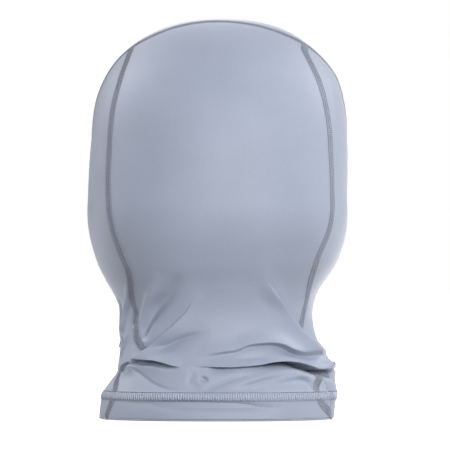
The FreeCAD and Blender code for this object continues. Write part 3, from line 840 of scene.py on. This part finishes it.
class Look:
    """A material with its shader, and the nodes that these materials share."""

    def __init__(self, name, colour, roughness, sheen=0.0, specular=0.35):
        self.material = bpy.data.materials.new(name)
        self.material.use_nodes = True
        self.nodes, self.links = self.material.node_tree.nodes, self.material.node_tree.links
        self.colour = colour
        self.shader = put(self.nodes["Principled BSDF"], {
            "Base Color": (*colour, 1.0), "Roughness": roughness, "Specular IOR Level": specular,
            "Sheen Weight": sheen, "Sheen Roughness": 0.35, "Sheen Tint": (0.92, 0.94, 1.0, 1.0)})

    def node(self, kind):
        return self.nodes.new(f"ShaderNode{kind}")

    def math(self, operation, *values):
        node = self.node("Math")
        node.operation = operation
        for socket, value in zip(node.inputs, values):
            if isinstance(value, (int, float)):
                socket.default_value = value
            else:
                self.links.new(value, socket)
        return node.outputs[0]

    def mix(self, first, share, second, other_share):
        """The sum of two values, each times its share."""
        return self.math("ADD", self.math("MULTIPLY", first, share),
                         self.math("MULTIPLY", second, other_share))

    def noise(self, scale, detail):
        """Noise in the object's own coordinates, the scale per metre."""
        noise = put(self.node("TexNoise"), {"Scale": scale, "Detail": detail})
        self.links.new(self.node("TexCoord").outputs["Object"], noise.inputs["Vector"])
        return noise.outputs[0]

    def tones(self, value, *stops):
        """Colours the surface by a value: each stop is the value and a brightness of the colour."""
        ramp = self.node("ValToRGB")
        for element, (position, brightness) in zip(ramp.color_ramp.elements, stops):
            element.position = position
            element.color = (*[min(1.0, c * brightness) for c in self.colour], 1.0)
        self.links.new(value, ramp.inputs[0])
        self.links.new(ramp.outputs[0], self.shader.inputs["Base Color"])

    def bump(self, height, strength, distance):
        bump = put(self.node("Bump"), {"Strength": strength, "Distance": distance})
        self.links.new(height, bump.inputs["Height"])
        self.links.new(bump.outputs[0], self.shader.inputs["Normal"])


def knit_material(name, colour, wale=0.00055, course=0.0005, strength=0.28):
    """Satin stretch jersey: fine upright wales crossed by courses, a soft sheen, faint cloudiness."""
    look = Look(name, colour, 0.52, sheen=0.55)
    coordinates, split = look.node("UVMap"), look.node("SeparateXYZ")
    coordinates.uv_map = "knit"
    look.links.new(coordinates.outputs[0], split.inputs[0])
    wales, courses = (
        look.math("SINE", look.math("MULTIPLY", split.outputs[axis], 2 * math.pi / pitch))
        for axis, pitch in enumerate((wale, course)))
    weave = look.math("ADD", wales, look.math("MULTIPLY", courses, 0.45))
    cloud, slub = look.noise(28.0, 3.0), look.noise(900.0, 2.0)
    look.tones(look.mix(cloud, 0.6, slub, 0.4), (0.3, 0.93), (0.7, 1.06))
    look.bump(look.mix(weave, 0.5, slub, 0.8), strength, 0.00012)
    return look.material


def thread_material(name, colour):
    """Textured polyester thread: fine twisted ply and a dull sheen."""
    look = Look(name, colour, 0.6, sheen=0.3)
    ply = look.noise(2600.0, 1.0)
    look.tones(ply, (0.35, 0.78), (0.65, 1.18))
    look.bump(ply, 0.5, 0.0001)
    return look.material


shell_fabric = knit_material("satin_jersey", (0.335, 0.375, 0.475))
binding_fabric = knit_material(
    "binding_elastic", (0.30, 0.335, 0.43), wale=0.0011, course=0.0008, strength=0.5)
seam_thread = thread_material("seam_thread", (0.27, 0.29, 0.355))
bar_thread = thread_material("bar_thread", (0.47, 0.51, 0.61))
label_fabric = knit_material("woven_tape", (0.78, 0.78, 0.76), wale=0.0004, course=0.0006, strength=0.3)


# ---- Pieces ----
def back_edges():
    """The back panel's top, bottom, left and right edges, as panel() takes them."""
    left, right = (down_to(back_lines[side], HEM_FOLD) for side in SIDES)
    shares = shares_by_height(left)
    left, right = at_shares(left, shares), at_shares(right, shares)
    columns = int(2 * crown_corner[0] / BACK_SPACING)
    top = evenly(both_sides(part_of(side_line, 0.0, to_corner)), columns)
    return top, level_line(right[-1], left[-1], columns), right, left


def side_edges(side):
    tip = 1.0  # the blunt upper end starts this far down the panel's lines
    back = down_to(part_of(back_lines[side], tip), HEM_FOLD)
    front = down_to(part_of(on_side(side, side_line), to_corner + tip), HEM_FOLD)
    shares = shares_by_height(back)
    back, front = at_shares(back, shares), at_shares(front, shares)
    top = evenly(np.stack([back[0], front[0]]), SIDE_COLUMNS)
    return top, level_line(back[-1], front[-1], SIDE_COLUMNS), back, front


def forehead_edges():
    temple = evenly(temple_line, TEMPLE_ROWS)
    top = evenly(both_sides(part_of(side_line, 0.0, to_temple)), FOREHEAD_COLUMNS)
    bottom = evenly(opening_line(PANEL_EDGE, 180.0, 0.0, 400), FOREHEAD_COLUMNS)
    return top, bottom, mirrored(temple), temple


def face_edges():
    under_eye = opening_line(PANEL_EDGE, -0.5, -90.0, 200)
    top = evenly(np.concatenate([temple_line[:-1], under_eye]), FACE_COLUMNS)
    outer = down_to(front_line, HEM_FOLD)
    shares = shares_by_height(outer)
    outer, inner = at_shares(outer, shares), at_shares(down_to(chin_line, HEM_FOLD), shares)
    bottom = level_line(outer[-1], inner[-1] + np.array([1e-6, 0, 0]), FACE_COLUMNS)
    return top, bottom, outer, inner


def make_panels():
    edges = {"back_panel": back_edges()}
    for side in SIDES:
        edges[f"{side}_side_panel"] = side_edges(side)
    edges["forehead_panel"] = forehead_edges()
    face = face_edges()
    for side in SIDES:
        edges[f"{side}_face_panel"] = [on_side(side, line) for line in face]
    return {name: panel(name, *lines) for name, lines in edges.items()}


def make_seams():
    """The flat seams, each with its threads outside and inside, where they stop above the turn-up."""
    def falling(line):
        return down_to(line, SEAM_FOOT), down_to(line, HEM_DEPTH + 1.0)

    beside = SEAM_WIDTH / 2 + GAP
    crown = both_sides(part_of(side_line, 0.0, to_temple - GAP))
    lines = {"crown_seam": (crown, crown)}
    for side in SIDES:
        lines[f"{side}_back_seam"] = falling(part_of(back_lines[side], beside + 2.0))
        lines[f"{side}_front_seam"] = falling(on_side(side, front_line))
        temple = on_side(side, part_of(temple_line, beside, length_of(temple_line) - GAP))
        lines[f"{side}_temple_seam"] = (temple, temple)
    lines["centre_front_seam"] = falling(part_of(chin_line, GAP))

    pieces = {}
    for name, (outside_line, inside_line) in lines.items():
        threads = Threads()
        ladder(threads, outside_line)
        ladder(threads, inside_line, inside=True)
        pieces[name] = threads.make(name, seam_thread)
    return pieces


def make_opening():
    """The folded binding round the face opening, its zigzag stitching and a bar tack at each corner."""
    ends = 0.1
    fat = 0.55  # how far the binding stands off the fabric on each side
    low, high = -FABRIC - fat, fat
    profile = [(BINDING_WIDTH, 0.05), (BINDING_WIDTH - 0.1, high * 0.7), (BINDING_WIDTH - 0.7, high)]
    profile += [(width, high + 0.05) for width in (6.6, 5.2, 3.8, 2.4, 1.3)]
    middle, half = (low + high) / 2, (high - low) / 2
    for k in range(7):
        turn = math.pi * (k + 0.5) / 7
        profile.append((0.9 - 0.9 * math.sin(turn), middle + half * math.cos(turn)))
    profile += [(width, low - 0.05) for width in (1.3, 2.4, 3.8, 5.2, 6.6)]
    profile += [(BINDING_WIDTH - 0.7, low), (BINDING_WIDTH - 0.1, low * 0.9 - 0.05)]
    profile.append((BINDING_WIDTH, -FABRIC - 0.05))

    def ring(width):
        return opening_line(width, ends - 90.0, 270.0 - ends, 420)

    name = "face_opening_binding"
    pieces = {name: swept(name, ring, profile, binding_fabric, wrap=False)}
    stitching = Threads()
    zigzag(stitching, evenly(ring(4.6), 1200), width=3.6, pitch=1.5, lift=high + 0.12)
    pieces["binding_stitching"] = stitching.make("binding_stitching", seam_thread)
    for side in SIDES:
        bar = Threads()
        corner = on_side(side, opening_line(PANEL_EDGE - 1.3, -9.0, 9.0, 60))
        zigzag(bar, corner, width=2.0, pitch=0.55, lift=high + 0.2)
        pieces[f"{side}_bartack"] = bar.make(f"{side}_bartack", seam_thread)
    return pieces


def round_neck(height, count, endpoint=True):
    return cast_round(np.linspace(0, 2 * np.pi, count, endpoint=endpoint), np.full(count, height))


def make_hem():
    """The turned-up edge inside the neck with its rolled lower edge, and the coverstitch outside."""
    spine = np.array([
        (HEM_DEPTH, -1.45), (14.0, -1.4), (8.0, -1.4), (3.0, -1.4), (1.6, -1.35), (0.75, -1.15),
        (0.4, -0.72), (0.55, -0.42), (HEM_FOLD - 0.1, -0.37)])
    along = unit(np.gradient(spine, axis=0))
    side = np.stack([-along[:, 1], along[:, 0]], -1) * 0.36
    loop = np.concatenate([spine + side, (spine - side)[::-1]])

    def ring(height):
        return round_neck(max(0.0, height), HEM_COLUMNS, endpoint=False)

    hem = swept("hem_turn_up", ring, loop, shell_fabric, wrap=True)
    threads = Threads()
    for row, height in enumerate(HEM_ROWS):
        length = length_of(round_neck(height, 4000))
        count = int(length / COVER_PITCH)
        threads.add(round_neck(height, count), stitch_wave(count, 0.2, 0.12), RUNG_RADIUS, second=row == 1)
    count = int(length_of(round_neck(HEM_ROWS[1], 4000)) / BAR_PITCH)
    angles = np.linspace(0, 2 * np.pi, count, endpoint=False)
    shares = np.linspace(-1, 1, 8)
    heights = np.linspace(HEM_ROWS[0] + 0.7, HEM_ROWS[-1] - 0.7, 8)
    wander = 0.3 * np.sin(np.arange(count) * 2.4)[:, None] * shares[None] / UNROLL
    spots = cast_round(angles[:, None] + wander, np.broadcast_to(heights, (count, 8)))
    threads.add(spots, 0.14 + 0.2 * (1 - shares**4), BAR_RADIUS, second=True)
    return {"hem_turn_up": hem, "hem_coverstitch": threads.make("hem_coverstitch", seam_thread, bar_thread)}


def make_label():
    """The blank tag inside the neck: a thin curled tape on its own body, hanging from its sewn edge."""
    low, high = (np.array(corner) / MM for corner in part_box("care_label"))
    hinge = np.array(frame["joints"][0]["pos_m"][:2]) / MM
    reach = high[:2] - hinge
    length = np.linalg.norm(reach)
    lean = reach / length
    off = np.array([-lean[1], lean[0]])
    rows, columns = 30, 26
    height = np.linspace(low[2], high[2], rows)[:, None]
    along = np.linspace(0.3, length - 0.3, columns)[None]
    curl = -1.1 * np.sin(np.pi * along / length) * (0.6 + 0.4 * (height - low[2]) / (high[2] - low[2]))
    spots = hinge + lean * along[..., None] + off * curl[..., None]
    grid = np.concatenate([spots, np.broadcast_to(height, (rows, columns))[..., None]], -1)
    normal = unit(np.cross(np.gradient(grid, axis=1), np.gradient(grid, axis=0)))
    half = 0.17  # of the tape's thickness
    verts, faces = shell(grid + normal * half, grid - normal * half)
    uvs = np.stack([np.broadcast_to(along, (rows, columns)), grid[..., 2]], -1).reshape(-1, 2) * MM
    label = new_object("care_label_tape", verts, faces, label_fabric, np.concatenate([uvs, uvs]))
    recalculate_normals(label)
    return label


panels = make_panels()
trims = {**make_seams(), **make_opening(), **make_hem()}
label = make_label()

for name, piece in {**panels, **trims}.items():
    piece.name = piece.data.name = f"{name}_sewn"
    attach(piece, "hood")
    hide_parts(name)
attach(label, "label")
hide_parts("care_label")


# ---- Stage, light and camera ----
FLOOR_HALF = 8000.0  # half the floor's side, in millimetres
FLOOR_DROP = 0.0006  # in metres
FLOOR_GLOW = 0.88
FLOOR_LIGHT, CEILING_LIGHT = 0.14, 0.46  # the room's light from below and from above
LIGHT_TARGET = (0.0, 0.0, 0.13)


def make_stage():
    """A white floor that glows so that it burns out, without lighting the hood itself."""
    look = Look("white_floor", (0.9, 0.9, 0.9), 0.9, specular=0.0)
    put(look.shader, {"Emission Color": WHITE, "Emission Strength": FLOOR_GLOW})
    corners = np.array([(-1, -1, 0), (1, -1, 0), (1, 1, 0), (-1, 1, 0)]) * FLOOR_HALF
    floor = new_object("floor", corners, [(0, 1, 2, 3)], look.material)
    floor.location.z = -FLOOR_DROP
    floor.visible_diffuse = False


def aim(obj, target):
    direction = Vector(target) - Vector(obj.location)
    obj.rotation_euler = direction.to_track_quat("-Z", "Y").to_euler()


def area_light(name, location, size, power):
    light = bpy.data.lights.new(name, "AREA")
    light.shape = "RECTANGLE"
    light.size, light.size_y = size
    light.energy = power
    lamp = add_object(name, light)
    lamp.location = location
    aim(lamp, LIGHT_TARGET)


def make_light():
    """A soft box in front on each side and one behind, in a pale room that is seen as plain white."""
    scene = bpy.context.scene
    scene.view_settings.view_transform = "Standard"
    scene.world = world = bpy.data.worlds.new("studio")
    world.use_nodes = True
    nodes, links = world.node_tree.nodes, world.node_tree.links
    background = put(nodes["Background"], {"Color": WHITE})
    direction, split, room, path, mix = (
        nodes.new(f"ShaderNode{kind}")
        for kind in ("TexCoord", "SeparateXYZ", "MapRange", "LightPath", "Mix"))
    put(room, {"From Min": -1.0, "To Min": FLOOR_LIGHT, "To Max": CEILING_LIGHT})
    put(mix, {3: 1.0})
    links.new(direction.outputs["Generated"], split.inputs[0])
    links.new(split.outputs[2], room.inputs["Value"])
    links.new(path.outputs["Is Camera Ray"], mix.inputs[0])
    links.new(room.outputs[0], mix.inputs[2])
    links.new(mix.outputs[0], background.inputs["Strength"])
    area_light("key_right", (-1.2, -0.5, 0.9), (0.6, 0.9), 13.0)
    area_light("key_left", (1.2, -0.5, 0.9), (0.6, 0.9), 14.0)
    area_light("back", (-0.5, 1.5, 0.5), (0.7, 0.5), 21.0)


def make_camera():
    """Straight behind the head, level with its middle, as far off as a long product lens stands."""
    camera = bpy.data.cameras.new("camera")
    camera.lens = camera.sensor_width * EYE_DISTANCE / VIEW_WIDTH
    camera.clip_end = 50.0
    eye = add_object("camera", camera)
    centre = np.array([EYE_SIDE, 0.0, EYE_HEIGHT]) * MM
    eye.location = centre + np.array([0.0, EYE_DISTANCE * MM, 0.0])
    aim(eye, centre)
    bpy.context.scene.camera = eye


make_stage()
make_light()
make_camera()
